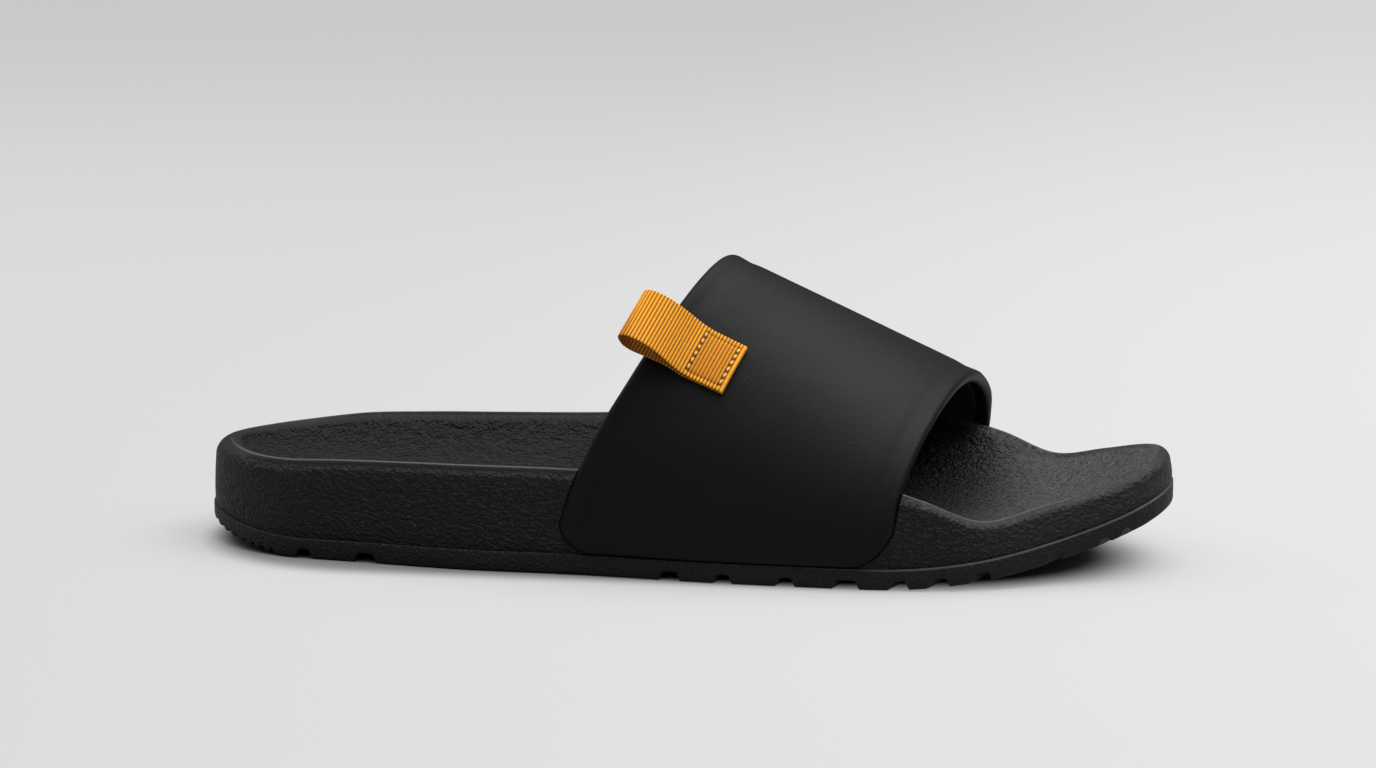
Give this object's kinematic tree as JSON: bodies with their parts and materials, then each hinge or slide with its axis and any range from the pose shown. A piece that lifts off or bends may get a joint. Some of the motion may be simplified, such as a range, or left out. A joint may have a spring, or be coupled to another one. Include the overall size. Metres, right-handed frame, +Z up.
{
  "type": "slide sandal",
  "caption": "Open slide sandal for the right foot: moulded foam footbed on a rubber outsole, one wide strap and a webbing pull loop.",
  "frame": {"origin": "centre of the bounding box's foot, on the plane that the sole stands on", "axes": "+X from heel to toe, +Y to the medial (big toe) side, +Z up"},
  "size_m": [0.284, 0.107, 0.0859],
  "materials": {
    "outsole_rubber": "black moulded rubber with a fine pebble grain, matte",
    "midsole_foam": "black moulded foam with a crinkled leather-like grain, satin",
    "strap_leather": "black smooth matte leather over a woven lining",
    "loop_webbing": "mustard grosgrain webbing with a box stitch"
  },
  "bodies": {
    "root": {"outsole": "outsole_rubber", "midsole": "midsole_foam", "strap": "strap_leather", "pull_loop": "loop_webbing"}
  },
  "joints": []
}
